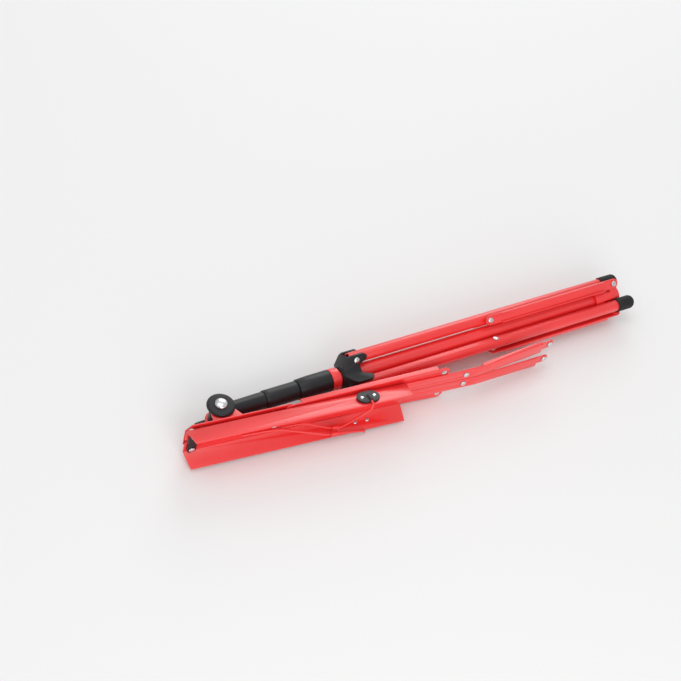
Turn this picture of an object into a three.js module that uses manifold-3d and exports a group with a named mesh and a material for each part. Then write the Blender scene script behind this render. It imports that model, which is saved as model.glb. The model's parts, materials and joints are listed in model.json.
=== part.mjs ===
// Folding music stand, lying folded on the floor: telescopic pole, three-leg base and a
// collapsed two-wing desk. Millimetres. The pole runs along +X from the head to the feet, +Z is
// up, the desk's front faces -Y and the origin is under the middle of the lying stand.

import * as THREE from 'three';
import { mergeVertices } from 'three/addons/utils/BufferGeometryUtils.js';
import Module from 'manifold-3d';

const wasm = await Module();
wasm.setup();

// ---- Driving dimensions -------------------------------------------------------------------

const GAP = 0.3; // left between pieces that rest on each other
const SHEET = 1.2; // pressed steel sheet
const ROUND = 28; // facets of a round piece

const LIE = { roll: -0.6118, pitch: 0.2696 }; // degrees that the folded stand leans when it lies on the floor

const POLE = {
  lower: { outer: 7.5, inner: 6.6, from: 96, to: 441 },
  middle: { outer: 6.1, inner: 5.3, from: 62, to: 402 },
  upper: { outer: 4.8, inner: 3.9, from: 22, to: 386 },
};
const COLLAR_LOWER = { from: 78.3, shoulder: 90, to: 111.5, neck: 9.2, body: 10.2 };
const COLLAR_MIDDLE = { from: 44.3, shoulder: 49, to: 78, neck: 8.4, body: 8.8 };
const TUBE_RING = { from: 111.8, to: 120.2, radius: 10.3 };

const LEG = {
  radius: 14.5, // from the pole axis to a leg's axis
  outer: 5.75,
  inner: 4.9,
  clocks: [125.5, 5.5, -114.5], // degrees around the pole, 0 facing the desk, 90 up
  hubPivot: 138,
  strutPivot: 286,
  lowerPivot: 434,
  topRound: 6, // rounded top end, about the hub pivot
  end: 440,
};
const FOOT = { outer: 6.7, from: 422.5, to: 443.2, socket: 440.5, slips: [0, 9.8, 0] }; // foot 2 has crept off
const STRUT = { halfWidth: 5, web: 1.1, side: 8.6, flange: 2.2, flat: 12 };
const HUB = { from: 122, slotFrom: 131, coreTo: 141, to: 149, sleeve: 11.6, bore: 7.8, ear: [6.1, 9.1], top: 19.3 };
const LOWER_HUB = { from: 412, recessFrom: 421.5, to: 440, sleeve: 9.8, bore: 7.8, lug: [7, 8.3], lugRound: 4.2 };

const HEAD = {
  bossRadius: 9.2,
  bossHalf: 8.4,
  neckFrom: 6,
  neckTo: 44,
  neckRadius: [7.7, 8.1],
  bore: 3.3,
};
const BRACKET = { earInner: 8.75, sheet: 1.5, earRadius: 11.4, base: [-11.4, 16], webFront: 15.8 };
const TILT = { disc: 12.8, discFace: [10.6, 13.9], bolt: 6, shank: 3, knob: 10.5, knobFace: [10.6, 19] };
const KNOB_WING = { reach: 22, halfWidth: 4.2, root: 6.5 };

const DESK_SPLAY = 5.3; // degrees between the folded desk and the pole
const SPINE = { halfWidth: 15, from: -39, to: 66, back: 16.1, chamfer: 6 };
const LINK = { x: -33.5, side: 9.3, back: 22.5, thick: 2.4, radius: 4.2 };
const TRAY = { from: -40, to: 172.5, inner: 0.5, corner: 14.8, back: 20.9, lip: 18, lean: 14, slant: 2 };
const OUTER_ARM = { foot: [45, 6.2], end: 324, back: 19.3, halfWidth: 5.9, flange: 4, flangeFrom: 256 };
const KNEE = { x: 252, side: 6.4, bend: 6.5 }; // the arms splay and bend back towards the pole from here
const TIP_STRIP = { from: 238, tip: [334, 10.7], halfWidth: 4.4, back: 17.7 };
const INNER_ARM = { foot: [60, 9.5], tip: [213, 15.2], back: 17.7, halfWidth: 5.6, flange: 5 };
const RIVET = { shank: 1.6, hole: 1.95, head: 3, dome: 1.2 };
const CLIP = { x: 129.5, halfLength: 10.8, halfWidth: 7.4, thick: 1.8, rootX: 130, barrel: 2.2, barrelEnd: 15 };
const CLIP_HOLE = 1.45;
const WIRE = { radius: 1.1, ferrule: 2.3, sides: 8 };

// ---- Materials ----------------------------------------------------------------------------

const look = (color, roughness, metalness) => new THREE.MeshStandardMaterial({ color, roughness, metalness });
const redPaint = look(0xef4b4f, 0.42, 0.15);
const blackPlastic = look(0x25262a, 0.5, 0);
const blackRubber = look(0x1f2023, 0.85, 0);
const steel = look(0xc9ccd0, 0.28, 1);

// ---- Solids -------------------------------------------------------------------------------

const radians = THREE.MathUtils.degToRad;

function toManifold(geometry) {
  const plain = geometry.index ? geometry.toNonIndexed() : geometry.clone();
  plain.deleteAttribute('normal');
  plain.deleteAttribute('uv');
  const merged = mergeVertices(plain, 1e-4);
  const vertProperties = Float32Array.from(merged.attributes.position.array);
  const triVerts = Uint32Array.from(merged.index.array);
  return new wasm.Manifold(new wasm.Mesh({ numProp: 3, vertProperties, triVerts }));
}

function toGeometry(manifold) {
  const mesh = manifold.getMesh();
  const geometry = new THREE.BufferGeometry();
  geometry.setAttribute('position', new THREE.BufferAttribute(Float32Array.from(mesh.vertProperties), 3));
  geometry.setIndex(new THREE.BufferAttribute(Uint32Array.from(mesh.triVerts), 1));
  return geometry;
}

function join(first, ...others) {
  return toGeometry(others.reduce((sum, other) => sum.add(toManifold(other)), toManifold(first)));
}

function cut(first, ...others) {
  return toGeometry(others.reduce((rest, other) => rest.subtract(toManifold(other)), toManifold(first)));
}

function common(first, second) {
  return toGeometry(toManifold(first).intersect(toManifold(second)));
}

// Lathe geometry about Y from [height, radius] points that start and end on the axis or close.
function lathe(points, facets) {
  const closed = points[0][1] > 0;
  const loop = closed ? [...points, points[0]] : points;
  const profile = loop.map(([height, radius]) => new THREE.Vector2(radius, height));
  if (THREE.ShapeUtils.area(profile) < 0) profile.reverse();
  return new THREE.LatheGeometry(profile, facets);
}

// A solid of revolution about X from [x, radius] points.
function turned(points, facets = ROUND) {
  return lathe(points, facets).rotateZ(-Math.PI / 2);
}

function rod(from, to, radius, facets = ROUND) {
  return turned([[from, 0], [from, radius], [to, radius], [to, 0]], facets);
}

function pipe(from, to, outer, inner, facets = ROUND) {
  return turned([[from, inner], [to, inner], [to, outer], [from, outer]], facets);
}

function block(x0, x1, y0, y1, z0, z1) {
  const box = new THREE.BoxGeometry(x1 - x0, y1 - y0, z1 - z0);
  return box.translate((x0 + x1) / 2, (y0 + y1) / 2, (z0 + z1) / 2);
}

// A flat plate that lies across the front direction: its outline is in x and z, its back face is
// `back` in front of the origin and its front face `thick` further forward, towards -Y.
function plate(outline, back, thick) {
  const solid = new THREE.ExtrudeGeometry(outline, { depth: thick, bevelEnabled: false, curveSegments: 8 });
  return solid.rotateX(Math.PI / 2).translate(0, -back, 0);
}

// A flat plate whose outline is in x and y and that is `thick` high from z.
function slab(outline, z, thick) {
  const solid = new THREE.ExtrudeGeometry(outline, { depth: thick, bevelEnabled: false, curveSegments: 8 });
  return solid.translate(0, 0, z);
}

function polygon(points) {
  return new THREE.Shape(points.map(([a, b]) => new THREE.Vector2(a, b)));
}

// A strip along x, rounded at one or both ends about the origin and about x = length.
function stripOutline(length, halfWidth, roundStart = true, roundEnd = true) {
  const outline = new THREE.Shape();
  outline.moveTo(0, -halfWidth);
  outline.lineTo(length, -halfWidth);
  if (roundEnd) outline.absarc(length, 0, halfWidth, -Math.PI / 2, Math.PI / 2, false);
  else outline.lineTo(length, halfWidth);
  outline.lineTo(0, halfWidth);
  if (roundStart) outline.absarc(0, 0, halfWidth, Math.PI / 2, 1.5 * Math.PI, false);
  return outline;
}

// A hole or pin along the front direction at (x, z), from `back` to `front`.
function across(x, z, back, front, radius, facets = 16) {
  const pin = new THREE.CylinderGeometry(radius, radius, front - back, facets);
  return pin.translate(x, -(back + front) / 2, z);
}

// A rivet along the front direction: [distance, radius] steps from its back to its front.
function rivetAt(x, z, steps) {
  const points = steps.map(([distance, radius]) => [-distance, radius]);
  return lathe(points, 16).translate(x, 0, z);
}

function domeSteps(face, radius = RIVET.head, height = RIVET.dome) {
  return [[face, radius], [face + height * 0.6, radius * 0.86], [face + height, radius * 0.4], [face + height, 0]];
}

const stand = new THREE.Group();

function place(name, geometry, material, parent = stand) {
  const mesh = new THREE.Mesh(geometry, material.clone());
  mesh.name = name;
  parent.add(mesh);
  return mesh;
}

function frame(parent, x, y, z, rotationX = 0, rotationY = 0, rotationZ = 0) {
  const group = new THREE.Group();
  group.position.set(x, y, z);
  group.rotation.set(rotationX, rotationY, rotationZ);
  parent.add(group);
  return group;
}

// ---- Pole ---------------------------------------------------------------------------------

function buildPole() {
  const { lower, middle, upper } = POLE;
  place('lower_tube', pipe(lower.from, lower.to, lower.outer, lower.inner), redPaint);
  place('middle_tube', pipe(middle.from, middle.to, middle.outer, middle.inner), redPaint);
  place('upper_tube', pipe(upper.from, upper.to, upper.outer, upper.inner), redPaint);
  const ring = pipe(TUBE_RING.from, TUBE_RING.to, TUBE_RING.radius, lower.outer + GAP);
  place('tube_ring', ring, redPaint);
  place('lock_collar_lower', lockCollar(COLLAR_LOWER, middle.outer + GAP, lower.outer + GAP), blackPlastic);
  place('lock_collar_middle', lockCollar(COLLAR_MIDDLE, upper.outer + GAP, middle.outer + GAP), blackPlastic);
}

// A twist collar: the thin tube passes its neck, and the thick tube ends inside its body.
function lockCollar(size, thinBore, thickBore) {
  const step = size.from + (size.to - size.from) * 0.5;
  return turned([
    [size.from, thinBore],
    [step, thinBore],
    [step, thickBore],
    [size.to, thickBore],
    [size.to, size.body - 0.5],
    [size.to - 0.5, size.body],
    [size.shoulder, size.body],
    [size.from + 0.8, size.neck + 0.5],
    [size.from, size.neck],
  ]);
}

// ---- Head ---------------------------------------------------------------------------------

function buildHead(desk) {
  place('head_socket', headSocket(), blackPlastic);
  place('head_bracket', headBracket(), redPaint, desk);
  place('tilt_disc', tiltDisc(), blackPlastic, desk);
  place('tilt_bolt', tiltBolt(), steel, desk);
  place('tilt_knob', tiltKnob(), blackPlastic, desk);
}

// Socket that caps the upper tube and carries the tilt boss between the bracket's ears.
function headSocket() {
  const boss = slab(new THREE.Shape().absarc(0, 0, HEAD.bossRadius, 0, 2 * Math.PI), -HEAD.bossHalf, 2 * HEAD.bossHalf);
  const [thin, thick] = HEAD.neckRadius;
  const neck = turned([[HEAD.neckTo, 0], [HEAD.neckTo, thick], [HEAD.neckFrom, thin], [HEAD.neckFrom, 0]]);
  const tubeBore = rod(POLE.upper.from - GAP, HEAD.neckTo + 1, POLE.upper.outer + GAP);
  return cut(join(boss, neck), tubeBore, upright(HEAD.bore, -20, 20));
}

function upright(radius, low, high, facets = 20) {
  const pin = new THREE.CylinderGeometry(radius, radius, high - low, facets);
  return pin.rotateX(Math.PI / 2).translate(0, 0, (low + high) / 2);
}

// Bent sheet: two ears around the boss, and a web that lies against the back of the spine plate.
function headBracket() {
  const { earInner, sheet, earRadius, base, webFront } = BRACKET;
  const ear = new THREE.Shape();
  ear.moveTo(base[0], -webFront);
  ear.lineTo(base[1], -webFront);
  ear.lineTo(base[1], -webFront + 3);
  ear.absarc(0, 0, earRadius, radians(-20), radians(200), false);
  ear.lineTo(base[0], -webFront + 3);
  const ears = [earInner, -earInner - sheet].map((z) => slab(ear, z, sheet));
  const half = earInner + sheet;
  const web = block(base[0], base[1], -webFront, -webFront + sheet, -half, half);
  return cut(join(web, ...ears), upright(HEAD.bore, -20, 20));
}

function tiltDisc() {
  const [low, high] = TILT.discFace;
  const disc = turned([
    [high, HEAD.bore],
    [high, TILT.disc - 1.4],
    [high - 1.2, TILT.disc],
    [low, TILT.disc],
    [low, HEAD.bore],
  ]);
  return disc.rotateY(-Math.PI / 2);
}

function tiltBolt() {
  const face = TILT.discFace[1] + GAP;
  const bolt = turned([
    [face + 2.6, 0],
    [face + 2.4, TILT.bolt * 0.5],
    [face + 1.5, TILT.bolt * 0.86],
    [face, TILT.bolt],
    [face, TILT.shank],
    [-17, TILT.shank],
    [-17, 0],
  ]);
  return bolt.rotateY(-Math.PI / 2);
}

// Hand knob on the other ear: a round body with one finger wing.
function tiltKnob() {
  const [near, far] = TILT.knobFace;
  const { reach, halfWidth, root } = KNOB_WING;
  const body = turned([
    [-near, 0],
    [-near, TILT.knob - 1],
    [-near - 1.2, TILT.knob],
    [-far + 1.5, TILT.knob],
    [-far, TILT.knob - 1.5],
    [-far, 0],
  ]).rotateY(-Math.PI / 2);
  const outline = new THREE.Shape();
  outline.moveTo(0, -root);
  outline.lineTo(0, root);
  outline.lineTo(-reach + halfWidth, halfWidth);
  outline.absarc(-reach + halfWidth, 0, halfWidth, Math.PI / 2, 1.5 * Math.PI, false);
  const wing = slab(outline, -far + 1, far - near - 2);
  return cut(join(body, wing), upright(HEAD.bore, -17.5, 0));
}

// ---- Desk ---------------------------------------------------------------------------------

function buildDesk(desk) {
  place('spine_plate', spinePlate(), redPaint, desk);
  place('tray_link', trayLink(), blackPlastic, desk);
  for (const [side, hand] of [[1, 'upper'], [-1, 'lower']]) {
    buildWing(desk, side, hand);
  }
}

function spinePlate() {
  const { halfWidth, from, to, back, chamfer } = SPINE;
  const outline = polygon([
    [from, -halfWidth + chamfer],
    [from + chamfer, -halfWidth],
    [to - chamfer, -halfWidth],
    [to, -halfWidth + chamfer],
    [to, halfWidth - chamfer],
    [to - chamfer, halfWidth],
    [from + chamfer, halfWidth],
    [from, halfWidth - chamfer],
  ]);
  const holes = [];
  for (const side of [1, -1]) {
    holes.push(across(LINK.x, side * LINK.side, back - 1, back + 3, RIVET.hole));
    holes.push(across(INNER_ARM.foot[0], side * INNER_ARM.foot[1], back - 1, back + 3, RIVET.hole));
  }
  return cut(plate(outline, back, SHEET), ...holes);
}

function trayLink() {
  const outline = stripOutline(2 * LINK.side, LINK.radius);
  const bar = plate(outline, LINK.back, LINK.thick).rotateY(-Math.PI / 2).translate(LINK.x, 0, -LINK.side);
  const holes = [1, -1].map((side) => across(LINK.x, side * LINK.side, LINK.back - 1, LINK.back + 4, RIVET.hole));
  return cut(bar, ...holes);
}

function buildWing(desk, side, hand) {
  place(`tray_${hand}`, forSide(trayHalf(), side), redPaint, desk);
  place(`outer_arm_${hand}`, forSide(outerArm(), side), redPaint, desk);
  place(`inner_arm_${hand}`, forSide(innerArm(), side), redPaint, desk);
  place(`tip_strip_${hand}`, forSide(tipStrip(), side), redPaint, desk);
  buildWingRivets(desk, side, hand);
  buildPageHolder(desk, side, hand);
}

// The ledge's own frame: x along the tray, -y from the corner out along the ledge, z outwards.
function ledgeFrame(geometry) {
  return geometry.rotateX(radians(-TRAY.lean)).translate(0, -TRAY.back, TRAY.corner);
}

// Upper half of the desk's trough: a back plate and a ledge that leans outwards from it. The back
// plate's inner corner is rounded about the link's rivet, so that the halves swing past each other.
function trayHalf() {
  const { from, to, inner, corner, back, lip, slant } = TRAY;
  const swing = LINK.side - inner;
  const outline = new THREE.Shape();
  outline.moveTo(from, corner);
  outline.lineTo(to, corner);
  outline.lineTo(to, inner);
  outline.lineTo(LINK.x, inner);
  outline.absarc(LINK.x, LINK.side, swing, -Math.PI / 2, -Math.acos((from - LINK.x) / swing), true);
  const ledgeOutline = polygon([[from, 0], [to, 0], [to - slant, -lip], [from + slant, -lip]]);
  const ledge = ledgeFrame(slab(ledgeOutline, -SHEET, SHEET));
  const holes = [
    across(LINK.x, LINK.side, back - 1, back + 3, RIVET.hole),
    across(OUTER_ARM.foot[0], OUTER_ARM.foot[1], back - 1, back + 3, RIVET.hole),
  ];
  for (const x of clipRivets()) {
    const hole = new THREE.CylinderGeometry(CLIP_HOLE, CLIP_HOLE, 8, 12).rotateX(Math.PI / 2);
    holes.push(ledgeFrame(hole.translate(x, -TRAY.lip / 2, 0)));
  }
  return cut(join(plate(outline, back, SHEET), ledge), ...holes);
}

// The lower wing's piece is the upper wing's, mirrored.
function forSide(geometry, side) {
  return side > 0 ? geometry : mirrorUp(geometry);
}

function clipRivets() {
  return [CLIP.x - 6, CLIP.x + 6];
}

// Places a piece made along x from its foot onto the line from foot to tip.
function alongArm(geometry, arm) {
  const angle = Math.atan2(arm.tip[1] - arm.foot[1], arm.tip[0] - arm.foot[0]);
  return geometry.rotateY(-angle).translate(arm.foot[0], 0, arm.foot[1]);
}

// Distance of the outer arm's centre line from the desk's middle: it splays past the knee.
function armCentre(x) {
  const [low, high] = x < KNEE.x
    ? [OUTER_ARM.foot, [KNEE.x, KNEE.side]]
    : [[KNEE.x, KNEE.side], TIP_STRIP.tip];
  return low[1] + ((high[1] - low[1]) * (x - low[0])) / (high[0] - low[0]);
}

// Outline along the outer arm's centre line, through the knee, with a round start.
function armOutline(from, to, halfWidth, roundEnd) {
  const side = (x, offset) => [x, armCentre(x) + offset * halfWidth];
  const outline = new THREE.Shape();
  outline.moveTo(...side(from, -1));
  outline.lineTo(...side(KNEE.x, -1));
  outline.lineTo(...side(to, -1));
  if (roundEnd) outline.absarc(to, armCentre(to), halfWidth, -Math.PI / 2, Math.PI / 2, false);
  else outline.lineTo(...side(to, 1));
  outline.lineTo(...side(KNEE.x, 1));
  outline.lineTo(...side(from, 1));
  outline.absarc(from, armCentre(from), halfWidth, Math.PI / 2, 1.5 * Math.PI, false);
  return outline;
}

// Turns what lies past the knee back about the knee's line on the arm's front face.
function pastKnee(geometry) {
  const front = OUTER_ARM.back + SHEET;
  return geometry.translate(-KNEE.x, front, 0).rotateZ(radians(KNEE.bend)).translate(KNEE.x, -front, 0);
}

function bentAtKnee(flat) {
  const below = block(0, KNEE.x, -40, 0, -30, 30);
  const beyond = block(KNEE.x, 400, -40, 0, -30, 30);
  return join(common(flat, below), pastKnee(common(flat, beyond)));
}

// A hole through a sheet at x on the outer arm's centre line.
function armHole(x, back) {
  return across(x, armCentre(x), back - 1, back + 3, RIVET.hole);
}

// Long arm: flat up to the knee, and beyond it with a flange turned back along its outer edge.
function outerArm() {
  const { foot, end, back, halfWidth, flange, flangeFrom } = OUTER_ARM;
  const strip = plate(armOutline(foot[0], end, halfWidth, false), back, SHEET);
  const edge = new THREE.Shape();
  edge.moveTo(flangeFrom, armCentre(flangeFrom) + halfWidth - SHEET);
  edge.lineTo(end, armCentre(end) + halfWidth - SHEET);
  edge.lineTo(end, armCentre(end) + halfWidth);
  edge.lineTo(flangeFrom, armCentre(flangeFrom) + halfWidth);
  const turnedEdge = plate(edge, back + SHEET - flange, flange);
  const holes = [foot[0], TIP_STRIP.from].map((x) => armHole(x, back));
  return bentAtKnee(cut(join(strip, turnedEdge), ...holes));
}

// Strip behind the outer arm's upper part; it carries on past the arm's end to a round tip.
function tipStrip() {
  const { from, tip, halfWidth, back } = TIP_STRIP;
  const strip = plate(armOutline(from, tip[0], halfWidth, true), back, SHEET);
  return bentAtKnee(cut(strip, armHole(from, back), armHole(tip[0], back)));
}

// Short arm behind it, from the spine plate to the elbow, with a flange turned back.
function innerArm() {
  const { foot, tip, back, halfWidth, flange } = INNER_ARM;
  const length = Math.hypot(tip[0] - foot[0], tip[1] - foot[1]);
  const strip = plate(stripOutline(length, halfWidth), back, SHEET);
  const front = back + SHEET;
  const edge = block(10, length - 6, -front, -front + flange, halfWidth - SHEET, halfWidth);
  const holes = [0, length].map((x) => across(x, 0, back - 1, back + 3, RIVET.hole));
  return alongArm(cut(join(strip, edge), ...holes), INNER_ARM);
}

function buildWingRivets(desk, side, hand) {
  const { shank, head } = RIVET;
  const spineBack = SPINE.back - GAP;
  const linkFront = LINK.back + LINK.thick + GAP;
  const trayFront = TRAY.back + SHEET + GAP;
  const armFront = OUTER_ARM.back + SHEET + GAP;
  const stripBack = TIP_STRIP.back - GAP;
  const linkSteps = [
    [spineBack - 0.9, 0],
    [spineBack - 0.9, head],
    [spineBack, head],
    [spineBack, shank],
    [SPINE.back + SHEET + GAP, shank],
    [SPINE.back + SHEET + GAP, head + 0.4],
    [TRAY.back - GAP, head + 0.4],
    [TRAY.back - GAP, shank],
    [linkFront, shank],
    ...domeSteps(linkFront),
  ];
  place(`tray_link_rivet_${hand}`, rivetAt(LINK.x, side * LINK.side, linkSteps), steel, desk);

  const footBack = OUTER_ARM.back - GAP;
  const footSteps = [
    [footBack - 0.8, 0],
    [footBack - 0.8, head],
    [footBack, head],
    [footBack, shank],
    [trayFront, shank],
    ...domeSteps(trayFront),
  ];
  place(`tray_arm_rivet_${hand}`, rivetAt(OUTER_ARM.foot[0], side * OUTER_ARM.foot[1], footSteps), steel, desk);

  const flush = INNER_ARM.back + SHEET;
  const spineSteps = [
    [spineBack - 0.9, 0],
    [spineBack - 0.9, head],
    [spineBack, head],
    [spineBack, shank],
    [flush, shank],
    [flush, 0],
  ];
  place(`spine_rivet_${hand}`, rivetAt(INNER_ARM.foot[0], side * INNER_ARM.foot[1], spineSteps), steel, desk);

  const elbowBack = INNER_ARM.back - GAP;
  const elbowSteps = [
    [elbowBack - 0.9, 0],
    [elbowBack - 0.9, head],
    [elbowBack, head],
    [elbowBack, shank],
    [flush, shank],
    [flush, 0],
  ];
  place(`elbow_rivet_${hand}`, rivetAt(INNER_ARM.tip[0], side * INNER_ARM.tip[1], elbowSteps), steel, desk);

  const jointSteps = [
    [stripBack - 0.8, 0],
    [stripBack - 0.8, head],
    [stripBack, head],
    [stripBack, shank],
    [armFront, shank],
    ...domeSteps(armFront),
  ];
  const jointRivet = rivetAt(TIP_STRIP.from, armCentre(TIP_STRIP.from), jointSteps);
  place(`strip_rivet_${hand}`, forSide(jointRivet, side), steel, desk);

  const stripFront = TIP_STRIP.back + SHEET + GAP;
  const tipSteps = [
    [stripBack - 0.8, 0],
    [stripBack - 0.8, head],
    [stripBack, head],
    [stripBack, shank],
    [stripFront, shank],
    ...domeSteps(stripFront),
  ];
  const tipRivet = pastKnee(rivetAt(...TIP_STRIP.tip, tipSteps));
  place(`tip_rivet_${hand}`, forSide(tipRivet, side), steel, desk);
}

// ---- Page holders -------------------------------------------------------------------------

// Points are [x, front, side] in the desk's frame, where side is positive towards the wing's own
// ledge. The two wires lie at different heights in the trough so that they cross freely.
const WIRE_ROUTE = {
  upper: [[127.5, 41.4, 15.2], [107, 34.5, -12], [94, 34.5, -9], [67, 34.5, 7], [50, 34.5, 8.3], [8, 34.5, 9]],
  lower: [[127, 41.4, 15.2], [104, 40, 12.6], [91, 40, 10.6], [42, 38.2, -11], [30, 37.8, -12.6], [5, 37, -13]],
};

function clipPoint(alongLedge) {
  const lean = radians(TRAY.lean);
  const outwards = wireSeat();
  const front = TRAY.back + alongLedge * Math.cos(lean) - outwards * Math.sin(lean);
  const lateral = TRAY.corner + alongLedge * Math.sin(lean) + outwards * Math.cos(lean);
  return [CLIP.rootX, front, lateral];
}

// Distance of the wire's root from the ledge's outer face.
function wireSeat() {
  return WIRE.radius + GAP;
}

function buildPageHolder(desk, side, hand) {
  place(`holder_clip_${hand}`, forSide(holderClip(), side), blackPlastic, desk);
  const route = [clipPoint(8.6), clipPoint(19.9), ...WIRE_ROUTE[hand]];
  const points = route.map(([x, front, lateral]) => new THREE.Vector3(x, -front, lateral * side));
  place(`holder_wire_${hand}`, bentWire(points), redPaint, desk);
  place(`holder_ferrule_${hand}`, ferrule(points[3], points[4]), redPaint, desk);
}

// Oval plate on the outside of the ledge, with a barrel in which the wire's root turns.
function holderClip() {
  const { x, halfLength, halfWidth, thick, rootX, barrel, barrelEnd } = CLIP;
  const oval = slab(stripOutline(2 * (halfLength - halfWidth), halfWidth), GAP, thick);
  oval.translate(x - halfLength + halfWidth, -TRAY.lip / 2, 0);
  const start = TRAY.lip / 2 - 1;
  const tube = new THREE.CylinderGeometry(barrel, barrel, barrelEnd - start, 16);
  tube.translate(rootX, -(start + barrelEnd) / 2, wireSeat());
  const bore = new THREE.CylinderGeometry(WIRE.radius + GAP, WIRE.radius + GAP, TRAY.lip / 2 + 4, 12);
  bore.translate(rootX, -start - TRAY.lip / 4 - 1.5, wireSeat());
  const holes = clipRivets().map((rivetX) => {
    const hole = new THREE.CylinderGeometry(CLIP_HOLE, CLIP_HOLE, 8, 12).rotateX(Math.PI / 2);
    return hole.translate(rivetX, -TRAY.lip / 2, 0);
  });
  const ledgeRoom = block(x - 20, x + 20, -TRAY.lip - 5, 5, -6, GAP);
  return ledgeFrame(cut(join(oval, tube), bore, ledgeRoom, ...holes));
}

// Mirrors a geometry through z = 0 and turns its faces round again.
function mirrorUp(geometry) {
  geometry.scale(1, 1, -1);
  const index = geometry.index.array;
  for (let k = 0; k < index.length; k += 3) {
    [index[k + 1], index[k + 2]] = [index[k + 2], index[k + 1]];
  }
  return geometry;
}

// A wire that runs straight between the points and turns each corner on a small bend.
function bentWire(points) {
  const path = new THREE.CurvePath();
  let from = points[0];
  for (let k = 1; k < points.length - 1; k += 1) {
    const corner = points[k];
    const next = points[k + 1];
    const bend = Math.min(3, corner.distanceTo(from) * 0.4, corner.distanceTo(next) * 0.4);
    const start = corner.clone().add(from.clone().sub(corner).setLength(bend));
    const end = corner.clone().add(next.clone().sub(corner).setLength(bend));
    path.add(new THREE.LineCurve3(from, start));
    path.add(new THREE.QuadraticBezierCurve3(start, corner, end));
    from = end;
  }
  path.add(new THREE.LineCurve3(from, points[points.length - 1]));
  const circle = new THREE.Shape();
  for (let k = 0; k < WIRE.sides; k += 1) {
    const angle = (2 * Math.PI * k) / WIRE.sides;
    const point = [Math.cos(angle) * WIRE.radius, Math.sin(angle) * WIRE.radius];
    if (k === 0) circle.moveTo(...point);
    else circle.lineTo(...point);
  }
  return new THREE.ExtrudeGeometry(circle, { steps: 70, extrudePath: path, bevelEnabled: false });
}

// Ribbed sleeve on the wire's short straight stretch between two corners.
function ferrule(from, to) {
  const whole = from.distanceTo(to);
  const length = whole - 5.4;
  const bore = WIRE.radius + GAP;
  const profile = [[0, bore], [length, bore]];
  const ribs = 4;
  for (let k = ribs; k > 0; k -= 1) {
    const high = (length * k) / ribs;
    const low = (length * (k - 1)) / ribs;
    profile.push([high, WIRE.ferrule - 0.35], [high - 0.3, WIRE.ferrule], [low + 0.3, WIRE.ferrule]);
    profile.push([low, WIRE.ferrule - 0.35]);
  }
  const unique = profile.filter(([height, radius], k) => k === 0 || height !== profile[k - 1][0] || radius !== profile[k - 1][1]);
  const sleeve = turned(unique, 16);
  const direction = to.clone().sub(from).normalize();
  const turn = new THREE.Quaternion().setFromUnitVectors(new THREE.Vector3(1, 0, 0), direction);
  const start = from.clone().addScaledVector(direction, 2.7);
  return sleeve.applyQuaternion(turn).translate(start.x, start.y, start.z);
}

// ---- Three-leg base -----------------------------------------------------------------------

function buildBase() {
  place('hub', hub(), blackPlastic);
  place('lower_hub', lowerHub(), blackPlastic);
  LEG.clocks.forEach((clock, k) => {
    const sector = frame(stand, 0, 0, 0, radians(-clock));
    const number = k + 1;
    place(`leg_${number}`, legTube(), redPaint, sector);
    place(`foot_${number}`, footCap(FOOT.slips[k]), blackRubber, sector);
    place(`strut_${number}`, strut(), redPaint, sector);
    place(`hub_rivet_${number}`, hubRivet(), steel, sector);
    place(`leg_rivet_${number}`, legRivet(), steel, sector);
    place(`lower_rivet_${number}`, lowerRivet(), steel, sector);
  });
}

// A pin along the tangential direction, z, at x on the leg's axis.
function tangential(x, low, high, radius, facets = 16) {
  const pin = new THREE.CylinderGeometry(radius, radius, high - low, facets).rotateX(Math.PI / 2);
  return pin.translate(x, -LEG.radius, (low + high) / 2);
}

// A tangential rivet through the leg's axis at x from [z, radius] steps, highest first.
function tangentialRivet(x, steps) {
  return lathe(steps, 16).rotateX(Math.PI / 2).translate(x, -LEG.radius, 0);
}

// Sleeve with three forks; a rivet's tail ends blind in each fork's far ear.
function hub() {
  const { from, slotFrom, coreTo, to, sleeve, bore, ear, top } = HUB;
  let body = turned([[from, bore], [coreTo, bore], [coreTo, sleeve], [from + 1.5, sleeve], [from, sleeve - 1.5]]);
  const slots = [];
  const outline = polygon([
    [from + 1.5, -4],
    [coreTo, -4],
    [coreTo, -sleeve + 1.5],
    [to - 1.5, -13],
    [to, -14.8],
    [to, -17],
    [to - 3, -top],
    [slotFrom + 1, -top],
    [slotFrom - 2, -top + 2],
    [from + 1.5, -sleeve + 2],
  ]);
  for (const clock of LEG.clocks) {
    const turn = radians(-clock);
    body = join(body, slab(outline, -ear[1], 2 * ear[1]).rotateX(turn));
    slots.push(block(slotFrom, to + 1, -30, -3, -ear[0], ear[0]).rotateX(turn));
    slots.push(tangential(LEG.hubPivot, -12, ear[1] - 1, RIVET.hole).rotateX(turn));
  }
  return cut(body, ...slots, rod(from - 1, to + 1, bore));
}

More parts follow.
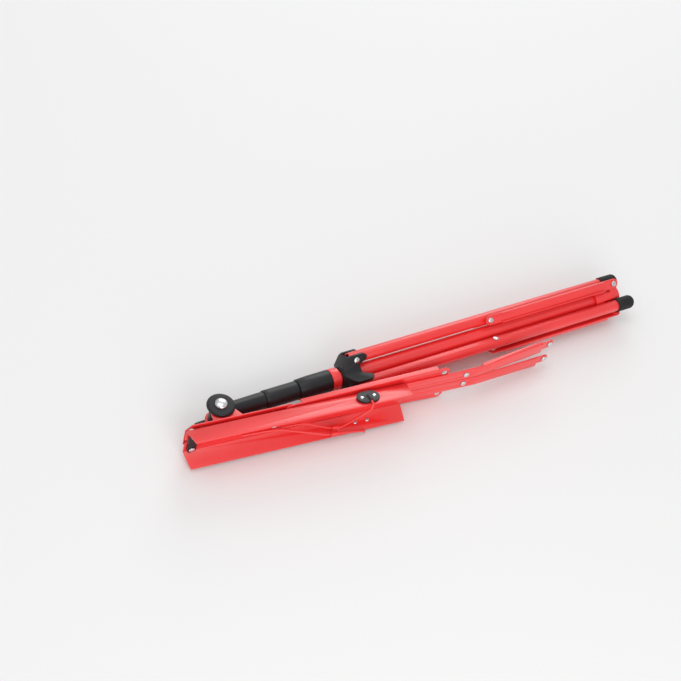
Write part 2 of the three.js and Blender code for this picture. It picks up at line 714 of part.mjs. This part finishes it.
// Fixed sleeve at the tube's end, with a lug for each strut and a hollow for each leg and foot.
function lowerHub() {
  const { from, recessFrom, to, sleeve, bore, lug, lugRound } = LOWER_HUB;
  let body = pipe(from, to, sleeve, bore);
  const hollows = [];
  const outline = new THREE.Shape();
  outline.moveTo(LEG.lowerPivot - lugRound, 0);
  outline.lineTo(LEG.lowerPivot + lugRound, 0);
  outline.lineTo(LEG.lowerPivot + lugRound, -LEG.radius);
  outline.absarc(LEG.lowerPivot, -LEG.radius, lugRound, 0, Math.PI, true);
  for (const clock of LEG.clocks) {
    const turn = radians(-clock);
    body = join(body, slab(outline, -lug[1], lug[1] - lug[0]).rotateX(turn));
    hollows.push(tangential(LEG.lowerPivot, -12, -5, RIVET.hole).rotateX(turn));
    const legRoom = rod(from - 1, to + 1, LEG.outer + GAP, 24);
    const footRoom = rod(recessFrom, to + 1, FOOT.outer + GAP, 24);
    for (const room of [legRoom, footRoom]) hollows.push(room.translate(0, -LEG.radius, 0).rotateX(turn));
  }
  return cut(body, ...hollows, rod(from - 1, to + 1, bore));
}

// Leg tube with its top end rounded about the hub pivot.
function legTube() {
  const { outer, inner, hubPivot, topRound, end, strutPivot } = LEG;
  const tube = pipe(hubPivot - topRound - 2, end, outer, inner, 24).translate(0, -LEG.radius, 0);
  const keepEnd = tangential(hubPivot, -8, 8, topRound, 24);
  const keepRest = block(hubPivot, end + 1, -LEG.radius - 8, -LEG.radius + 8, -8, 8);
  const kept = common(tube, join(keepEnd, keepRest));
  const holes = [hubPivot, strutPivot].map((x) => tangential(x, -9, 9, RIVET.hole));
  return cut(kept, ...holes);
}

function footCap(slip) {
  const { outer, from, to, socket } = FOOT;
  const bore = LEG.outer + GAP;
  const cap = turned([
    [to, 0],
    [to, outer * 0.5],
    [to - 2, outer * 0.84],
    [to - 4.5, outer],
    [from + 0.5, outer],
    [from, outer - 0.4],
    [from, bore],
    [socket, bore],
    [socket, 0],
  ]);
  return cap.translate(slip, -LEG.radius, 0);
}

// Shallow channel beside the leg, flat and rounded at both ends.
function strut() {
  const { halfWidth, web, side, flange, flat } = STRUT;
  const length = LEG.lowerPivot - LEG.strutPivot;
  const outline = stripOutline(length, halfWidth);
  const strip = slab(outline, -side - web, web).translate(LEG.strutPivot, -LEG.radius, 0);
  const edges = [halfWidth - web, -halfWidth].map((y) =>
    block(
      LEG.strutPivot + flat,
      LEG.lowerPivot - flat,
      -LEG.radius + y,
      -LEG.radius + y + web,
      -side - web - flange,
      -side,
    ),
  );
  const holes = [LEG.strutPivot, LEG.lowerPivot].map((x) => tangential(x, -12, -5, RIVET.hole));
  return cut(join(strip, ...edges), ...holes);
}

function hubRivet() {
  const face = HUB.ear[1] + GAP;
  const tail = HUB.ear[1] - 1 - GAP;
  const { shank, head, dome } = RIVET;
  return tangentialRivet(LEG.hubPivot, [
    [tail, 0],
    [tail, shank],
    [-face, shank],
    [-face, head],
    [-face - dome * 0.6, head * 0.86],
    [-face - dome, 0],
  ]);
}

// Through the leg: a flattened end on the far side, a shoulder under the strut and a head on it.
function legRivet() {
  const { shank, head, dome } = RIVET;
  const far = LEG.outer + 0.15;
  const face = STRUT.side + STRUT.web + GAP;
  return tangentialRivet(LEG.strutPivot, [
    [far + 0.8, 0],
    [far + 0.8, head - 0.4],
    [far, head - 0.2],
    [far, shank],
    [-LEG.outer - 0.15, shank],
    [-LEG.outer - 0.15, head],
    [-STRUT.side + GAP, head],
    [-STRUT.side + GAP, shank],
    [-face, shank],
    [-face, head],
    [-face - dome * 0.6, head * 0.86],
    [-face - dome, 0],
  ]);
}

function lowerRivet() {
  const { shank, head, dome } = RIVET;
  const face = STRUT.side + STRUT.web + GAP;
  const inner = FOOT.outer + 0.05;
  return tangentialRivet(LEG.lowerPivot, [
    [-inner, 0],
    [-inner, shank],
    [-face, shank],
    [-face, head],
    [-face - dome * 0.6, head * 0.86],
    [-face - dome, 0],
  ]);
}

// ---- Assembly -----------------------------------------------------------------------------

const desk = frame(stand, 0, 0, 0, 0, 0, radians(-DESK_SPLAY));
buildPole();
buildHead(desk);
buildDesk(desk);
buildBase();

// Laid down: leaned until it rests on three points, then set on the floor, centred on the origin.
stand.rotation.set(radians(LIE.roll), radians(LIE.pitch), 0);
stand.updateMatrixWorld(true);
const extent = new THREE.Box3().setFromObject(stand, true);
const middle = extent.getCenter(new THREE.Vector3());
stand.position.set(-middle.x, -middle.y, -extent.min.z);
stand.updateMatrixWorld(true);

export default stand;
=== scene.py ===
"""A folding sheet-music stand, lying folded on a pale studio floor."""

import json
import math

import bpy
from mathutils import Matrix, Vector


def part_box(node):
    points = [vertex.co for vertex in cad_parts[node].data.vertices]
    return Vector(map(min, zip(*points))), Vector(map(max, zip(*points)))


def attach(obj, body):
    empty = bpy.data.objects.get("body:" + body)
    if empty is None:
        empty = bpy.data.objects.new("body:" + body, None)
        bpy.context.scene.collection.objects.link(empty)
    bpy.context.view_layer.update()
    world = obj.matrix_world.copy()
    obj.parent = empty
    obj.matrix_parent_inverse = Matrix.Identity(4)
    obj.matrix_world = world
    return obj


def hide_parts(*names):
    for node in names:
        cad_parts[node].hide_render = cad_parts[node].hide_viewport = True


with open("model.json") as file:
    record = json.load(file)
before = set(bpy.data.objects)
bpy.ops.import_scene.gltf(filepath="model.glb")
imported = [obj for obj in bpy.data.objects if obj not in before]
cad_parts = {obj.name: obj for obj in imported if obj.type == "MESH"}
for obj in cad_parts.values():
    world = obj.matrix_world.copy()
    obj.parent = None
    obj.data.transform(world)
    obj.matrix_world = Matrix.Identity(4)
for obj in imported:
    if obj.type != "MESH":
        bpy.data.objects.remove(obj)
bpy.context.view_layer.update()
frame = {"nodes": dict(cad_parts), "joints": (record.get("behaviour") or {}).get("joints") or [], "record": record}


# ---- Camera -------------------------------------------------------------------------------
# A long lens looks down at the stand across its desk, from the left of the head, and leans to
# one side so that the pole climbs to the right.

AIM = Vector((0.0244, 0.0026, 0.0161))
DISTANCE = 1.6994
AZIMUTH = math.radians(45.95)
ELEVATION = math.radians(47.77)
LEAN = math.radians(20.12)
LENS = 95.5
SHIFT = (-0.1524, 0.0325)

ahead = Vector((
    math.sin(AZIMUTH) * math.cos(ELEVATION),
    math.cos(AZIMUTH) * math.cos(ELEVATION),
    -math.sin(ELEVATION),
))
level = ahead.cross(Vector((0, 0, 1))).normalized()
above = level.cross(ahead)
right = level * math.cos(LEAN) + above * math.sin(LEAN)
top = above * math.cos(LEAN) - level * math.sin(LEAN)

bpy.ops.object.camera_add()
camera = bpy.context.object
camera.name = "camera"
turned = Matrix((right, top, -ahead)).transposed().to_4x4()
camera.matrix_world = Matrix.Translation(AIM - ahead * DISTANCE) @ turned
camera.data.lens = LENS
camera.data.sensor_width = 36
camera.data.shift_x, camera.data.shift_y = SHIFT
camera.data.clip_start = 0.1
bpy.context.scene.camera = camera
bpy.context.scene.view_settings.view_transform = "Standard"


# ---- Floor and light ----------------------------------------------------------------------
# A seamless pale floor in a light tent: a bright surround, a soft lamp overhead, one behind the
# stand, whose reflection lies on the ledge, and a strong one in front that fills the trough.

FLOOR_WHITE = (0.86, 0.86, 0.86, 1)
SURROUND_STRENGTH = 0.62
FLOOR_SIZE = 12
LAMPS = (
    ("overhead_lamp", Vector((-0.3, 0.3, 1.8)), 1.5, 7),
    ("rear_lamp", Vector((0.95, 1.5, 0.95)), 1.1, 10),
    ("front_lamp", Vector((-0.5, -1.5, 0.75)), 1.2, 12.5),
)

bpy.ops.mesh.primitive_plane_add(size=FLOOR_SIZE, location=(0, 0, 0))
floor = bpy.context.object
floor.name = "floor"
floor_finish = bpy.data.materials.new("pale_floor")
floor_finish.use_nodes = True
floor_shader = floor_finish.node_tree.nodes["Principled BSDF"]
floor_shader.inputs["Base Color"].default_value = FLOOR_WHITE
floor_shader.inputs["Roughness"].default_value = 0.9
floor_shader.inputs["Specular IOR Level"].default_value = 0.1
floor.data.materials.append(floor_finish)

for name, place, size, power in LAMPS:
    bpy.ops.object.light_add(type="AREA", location=place)
    lamp = bpy.context.object
    lamp.name = name
    lamp.data.size = size
    lamp.data.energy = power
    lamp.rotation_euler = (-place).to_track_quat("-Z", "Y").to_euler()

surround = bpy.data.worlds.new("light_tent")
surround.use_nodes = True
surround.node_tree.nodes["Background"].inputs["Color"].default_value = (1, 1, 1, 1)
surround.node_tree.nodes["Background"].inputs["Strength"].default_value = SURROUND_STRENGTH
bpy.context.scene.world = surround


# ---- Lower tube and its ring --------------------------------------------------------------
# The thickest of three telescoping steel tubes, powder coated red, runs down through the tripod.
# A pressed ring on it stops the sliding hub, and the tripod's fixed sleeve is pinned at its end.

RED = (0.90, 0.028, 0.03)
WORN_RED = (0.85, 0.023, 0.025)
TONE_SPREAD = (0.32, 0.68)
RELIEF_STRENGTH = 0.5
WELD = 0.000004
FLAT = math.radians(0.6)
PLAIN_EDGE = 0.00025
RING_EDGE = 0.0006


def textured(name, shader_settings, tone_scale, tones, grain_scale, gloss, relief):
    """A finish whose tone, gloss and level all vary a little over the surface."""
    material = bpy.data.materials.new(name)
    material.use_nodes = True
    nodes = material.node_tree.nodes
    links = material.node_tree.links
    shader = nodes["Principled BSDF"]
    for socket, value in shader_settings.items():
        shader.inputs[socket].default_value = value
    where = nodes.new("ShaderNodeTexCoord")
    cloud = nodes.new("ShaderNodeTexNoise")
    cloud.inputs["Scale"].default_value = tone_scale
    cloud.inputs["Detail"].default_value = 5
    links.new(where.outputs["Object"], cloud.inputs["Vector"])
    shade = nodes.new("ShaderNodeValToRGB")
    shade.color_ramp.elements[0].position = TONE_SPREAD[0]
    shade.color_ramp.elements[1].position = TONE_SPREAD[1]
    shade.color_ramp.elements[0].color = (*tones[0], 1)
    shade.color_ramp.elements[1].color = (*tones[1], 1)
    links.new(cloud.outputs["Fac"], shade.inputs["Fac"])
    links.new(shade.outputs["Color"], shader.inputs["Base Color"])
    grain = nodes.new("ShaderNodeTexNoise")
    grain.inputs["Scale"].default_value = grain_scale
    grain.inputs["Detail"].default_value = 3
    links.new(where.outputs["Object"], grain.inputs["Vector"])
    polish = nodes.new("ShaderNodeMapRange")
    polish.inputs["To Min"].default_value = gloss[0]
    polish.inputs["To Max"].default_value = gloss[1]
    links.new(grain.outputs["Fac"], polish.inputs["Value"])
    links.new(polish.outputs["Result"], shader.inputs["Roughness"])
    bump = nodes.new("ShaderNodeBump")
    bump.inputs["Strength"].default_value = RELIEF_STRENGTH
    bump.inputs["Distance"].default_value = relief
    links.new(grain.outputs["Fac"], bump.inputs["Height"])
    links.new(bump.outputs["Normal"], shader.inputs["Normal"])
    return material


# Powder coat: an even red with a fine orange-peel surface under a satin gloss.
red_paint = textured(
    "red_powder_coat",
    {"Coat Weight": 0.6, "Coat Roughness": 0.3, "Specular IOR Level": 0.6},
    tone_scale=28,
    tones=(WORN_RED, RED),
    grain_scale=900,
    gloss=(0.30, 0.44),
    relief=0.00003,
)

body_of = {
    node: body
    for body, nodes in frame["record"]["behaviour"]["bodies"].items()
    for node in nodes
}


def fasten(piece, node, material):
    """Gives a finished piece its material and makes it stand for a node, on the node's body."""
    piece.data.materials.clear()
    piece.data.materials.append(material)
    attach(piece, body_of[node])
    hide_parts(node)


def eased(name, node, material, edge=PLAIN_EDGE, segments=2, crease=38):
    """A node's shape with its sharp edges rounded by `edge` and its round faces smooth."""
    piece = bpy.data.objects.new(name, frame["nodes"][node].data.copy())
    bpy.context.scene.collection.objects.link(piece)
    bpy.ops.object.select_all(action="DESELECT")
    piece.select_set(True)
    bpy.context.view_layer.objects.active = piece
    bpy.ops.object.mode_set(mode="EDIT")
    bpy.ops.mesh.select_all(action="SELECT")
    bpy.ops.mesh.remove_doubles(threshold=WELD)
    bpy.ops.mesh.dissolve_limited(angle_limit=FLAT)
    bpy.ops.object.mode_set(mode="OBJECT")
    if edge:
        bevel = piece.modifiers.new("edge", "BEVEL")
        bevel.limit_method = "ANGLE"
        bevel.angle_limit = math.radians(crease)
        bevel.width = edge
        bevel.segments = segments
        bpy.ops.object.modifier_apply(modifier="edge")
    bpy.ops.object.shade_smooth_by_angle(angle=math.radians(crease))
    fasten(piece, node, material)
    return piece


eased("painted_lower_tube", "lower_tube", red_paint)
eased("painted_ring", "tube_ring", red_paint, edge=RING_EDGE, segments=3)


# ---- Middle and upper tubes ---------------------------------------------------------------
# Thinner red tubes that slide in the lower one. Folded, they show only inside the collars and
# the head; drawn out, each carries the next.

eased("painted_middle_tube", "middle_tube", red_paint)
eased("painted_upper_tube", "upper_tube", red_paint)


# ---- Twist collars --------------------------------------------------------------------------
# Black moulded sleeves that clamp one tube on the next when they are turned. Each is a thick
# grip with a tapered shoulder.

BLACK = (0.013, 0.0135, 0.016)
DEEP_BLACK = (0.009, 0.0095, 0.0115)
COLLAR_EDGE = 0.0004

# Moulded plastic: near black, with the fine grain of a spark-eroded mould.
black_plastic = textured(
    "black_moulded_plastic",
    {"Specular IOR Level": 0.42},
    tone_scale=60,
    tones=(DEEP_BLACK, BLACK),
    grain_scale=2600,
    gloss=(0.34, 0.5),
    relief=0.00002,
)

for node in ("lock_collar_lower", "lock_collar_middle"):
    eased(f"grip_of_{node}", node, black_plastic, edge=COLLAR_EDGE, segments=3)


# ---- Head -----------------------------------------------------------------------------------
# A moulded socket caps the upper tube. Its boss is held between the ears of a red sheet bracket
# by a steel bolt, with a thick plastic washer under the bolt's head and a winged knob below.

DULL_NICKEL = (0.62, 0.63, 0.64)
NICKEL = (0.80, 0.81, 0.82)
SOCKET_EDGE = 0.0006
WASHER_EDGE = 0.0008
BOLT_EDGE = 0.0002
KNOB_EDGE = 0.0009
SHEET_EDGE = 0.0003

# Nickel plate: bright, with faint cloudy wear.
bright_steel = textured(
    "nickel_plate",
    {"Metallic": 1.0},
    tone_scale=140,
    tones=(DULL_NICKEL, NICKEL),
    grain_scale=1500,
    gloss=(0.16, 0.34),
    relief=0.00002,
)

eased("moulded_head_socket", "head_socket", black_plastic, edge=SOCKET_EDGE, segments=3)
eased("painted_bracket", "head_bracket", red_paint, edge=SHEET_EDGE)
eased("moulded_washer", "tilt_disc", black_plastic, edge=WASHER_EDGE, segments=4)
eased("plated_bolt", "tilt_bolt", bright_steel, edge=BOLT_EDGE)
eased("moulded_knob", "tilt_knob", black_plastic, edge=KNOB_EDGE, segments=3)


# ---- Spine and link -------------------------------------------------------------------------
# A red sheet plate behind the desk carries the bracket and the two short arms. A black link at
# its lower end holds the pivots of the two desk halves.

LINK_EDGE = 0.0005
RIVET_EDGE = 0.0001

eased("painted_spine", "spine_plate", red_paint)
eased("moulded_link", "tray_link", black_plastic, edge=LINK_EDGE, segments=3)

for hand in ("upper", "lower"):
    eased(f"plated_link_rivet_{hand}", f"tray_link_rivet_{hand}", bright_steel, edge=RIVET_EDGE)
    eased(f"plated_spine_rivet_{hand}", f"spine_rivet_{hand}", bright_steel, edge=RIVET_EDGE)


# ---- Desk halves ----------------------------------------------------------------------------
# Each half is one strip of steel sheet, folded into a back and a ledge, with eased edges where
# the press sheared it. Its long arm turns on a rivet near the middle.

for hand in ("upper", "lower"):
    eased(f"painted_tray_{hand}", f"tray_{hand}", red_paint, edge=SHEET_EDGE)
    eased(f"plated_arm_rivet_{hand}", f"tray_arm_rivet_{hand}", bright_steel, edge=RIVET_EDGE)


# ---- Arms -----------------------------------------------------------------------------------
# Red sheet strips that open like scissors to hold the pages. The long arm is splayed and set
# back at the knee, with a strip riveted behind its upper part, and the short arm lies behind it.

for hand in ("upper", "lower"):
    eased(f"painted_outer_arm_{hand}", f"outer_arm_{hand}", red_paint)
    eased(f"painted_tip_strip_{hand}", f"tip_strip_{hand}", red_paint)
    eased(f"painted_inner_arm_{hand}", f"inner_arm_{hand}", red_paint)
    for rivet in ("strip_rivet", "tip_rivet", "elbow_rivet"):
        eased(f"plated_{rivet}_{hand}", f"{rivet}_{hand}", bright_steel, edge=RIVET_EDGE)

# The elbow rivet's domed head, on the front of the short arm's end.
ELBOW_HEAD = 0.0026
ELBOW_DOME = 0.0011
HALF_SHANK = 0.0013

# Each step of the dome: its share of the height, and how far it narrows.
DOME_RIM = 0.4
DOME_STEPS = ((0.3, 0.86), (0.2, 0.72), (0.1, 0.5))

joints = {joint["name"]: joint for joint in frame["joints"]}
desk_front = Vector(joints["wing_spread_upper"]["axis"]).normalized()


def domed_head(name, place, way, radius, height, body):
    """A rivet's head at `place`, crowned towards `way`."""
    rim = height * DOME_RIM
    bpy.ops.object.select_all(action="DESELECT")
    bpy.ops.mesh.primitive_cylinder_add(
        vertices=32, radius=radius, depth=rim, location=(0, 0, rim / 2)
    )
    head = bpy.context.object
    head.name = name
    for face in head.data.polygons:
        face.select = face.normal.z > 0.9
    bpy.ops.object.mode_set(mode="EDIT")
    bpy.ops.mesh.select_mode(type="FACE")
    for rise, narrow in DOME_STEPS:
        step = (0, 0, height * rise)
        bpy.ops.mesh.extrude_region_move(TRANSFORM_OT_translate={"value": step})
        bpy.ops.transform.resize(value=(narrow, narrow, 1))
    bpy.ops.object.mode_set(mode="OBJECT")
    turn = way.to_track_quat("Z", "Y").to_matrix().to_4x4()
    head.matrix_world = Matrix.Translation(place) @ turn
    bpy.ops.object.transform_apply(location=True, rotation=True, scale=True)
    bpy.ops.object.shade_smooth_by_angle(angle=math.radians(60))
    head.data.materials.append(bright_steel)
    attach(head, body)


for hand in ("upper", "lower"):
    low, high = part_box(f"elbow_rivet_{hand}")
    face_centre = (low + high) / 2 + desk_front * HALF_SHANK
    domed_head(
        f"elbow_head_{hand}", face_centre, desk_front, ELBOW_HEAD, ELBOW_DOME, f"inner_{hand}"
    )


# ---- Page holders ---------------------------------------------------------------------------
# A bent red wire turns in an oval black clip, which two rivets hold on the outside of each
# ledge. A ribbed sleeve grips the wire halfway.

CLIP_RIVET_SPACING = 0.012
CLIP_ROOT_SHIFT = -0.0005
CLIP_RIVET_DEPTH = -0.003
CLIP_FACE = 0.00075
LEDGE_INNER_FACE = -0.00265
CLIP_HEAD = 0.0019
CLIP_DOME = 0.0009
CLIP_EDGE = 0.0005
SLEEVE_EDGE = 0.0001

for hand, side in (("upper", 1), ("lower", -1)):
    eased(f"moulded_clip_{hand}", f"holder_clip_{hand}", black_plastic, edge=CLIP_EDGE, segments=3)
    eased(f"painted_wire_{hand}", f"holder_wire_{hand}", red_paint, edge=0, crease=60)
    eased(f"ribbed_sleeve_{hand}", f"holder_ferrule_{hand}", red_paint, edge=SLEEVE_EDGE)
    root = joints[f"page_holder_{hand}"]
    across_ledge = Vector(root["axis"]).normalized() * side
    along_desk = across_ledge.cross(desk_front).normalized() * side
    outwards = along_desk.cross(across_ledge) * -side
    middle = Vector(root["pos_m"]) + along_desk * CLIP_ROOT_SHIFT + across_ledge * CLIP_RIVET_DEPTH
    for number, shift in ((1, -CLIP_RIVET_SPACING / 2), (2, CLIP_RIVET_SPACING / 2)):
        spot = middle + along_desk * shift
        domed_head(
            f"clip_rivet_{hand}_{number}", spot + outwards * CLIP_FACE, outwards,
            CLIP_HEAD, CLIP_DOME, f"wing_{hand}",
        )
        domed_head(
            f"clip_rivet_tail_{hand}_{number}", spot + outwards * LEDGE_INNER_FACE, -outwards,
            CLIP_HEAD, CLIP_DOME, f"wing_{hand}",
        )


# ---- Sliding hub ----------------------------------------------------------------------------
# One black moulding that slides on the lower tube, with three forks for the legs. A steel rivet
# through each fork is the leg's pivot.

HUB_EDGE = 0.0006

eased("moulded_hub", "hub", black_plastic, edge=HUB_EDGE, segments=3)
for leg in (1, 2, 3):
    eased(f"plated_hub_rivet_{leg}", f"hub_rivet_{leg}", bright_steel, edge=RIVET_EDGE)


# ---- Legs and feet --------------------------------------------------------------------------
# Red steel tubes with a rounded top end, and a rubber cap pushed on each lower end.

DUSTY_RUBBER = (0.019, 0.019, 0.0195)
RUBBER = (0.010, 0.010, 0.0105)
LEG_EDGE = 0.0002
FOOT_EDGE = 0.0005

# Rubber: matt and slightly dusty.
black_rubber = textured(
    "black_rubber",
    {"Specular IOR Level": 0.3},
    tone_scale=90,
    tones=(RUBBER, DUSTY_RUBBER),
    grain_scale=1800,
    gloss=(0.55, 0.75),
    relief=0.00004,
)

for leg in (1, 2, 3):
    eased(f"painted_leg_{leg}", f"leg_{leg}", red_paint, edge=LEG_EDGE)
    eased(f"rubber_foot_{leg}", f"foot_{leg}", black_rubber, edge=FOOT_EDGE, segments=3)
    eased(f"plated_leg_rivet_{leg}", f"leg_rivet_{leg}", bright_steel, edge=RIVET_EDGE)


# ---- Struts and fixed sleeve ----------------------------------------------------------------
# A shallow red channel beside each leg joins it to the painted sleeve at the tube's end, and
# folds flat against it.

# The record lists this sleeve as black plastic; it is given the paint of the tube here.
painted_sleeve = eased("painted_lower_hub", "lower_hub", red_paint, edge=SHEET_EDGE)
for leg in (1, 2, 3):
    eased(f"painted_strut_{leg}", f"strut_{leg}", red_paint)
    eased(f"plated_lower_rivet_{leg}", f"lower_rivet_{leg}", bright_steel, edge=RIVET_EDGE)
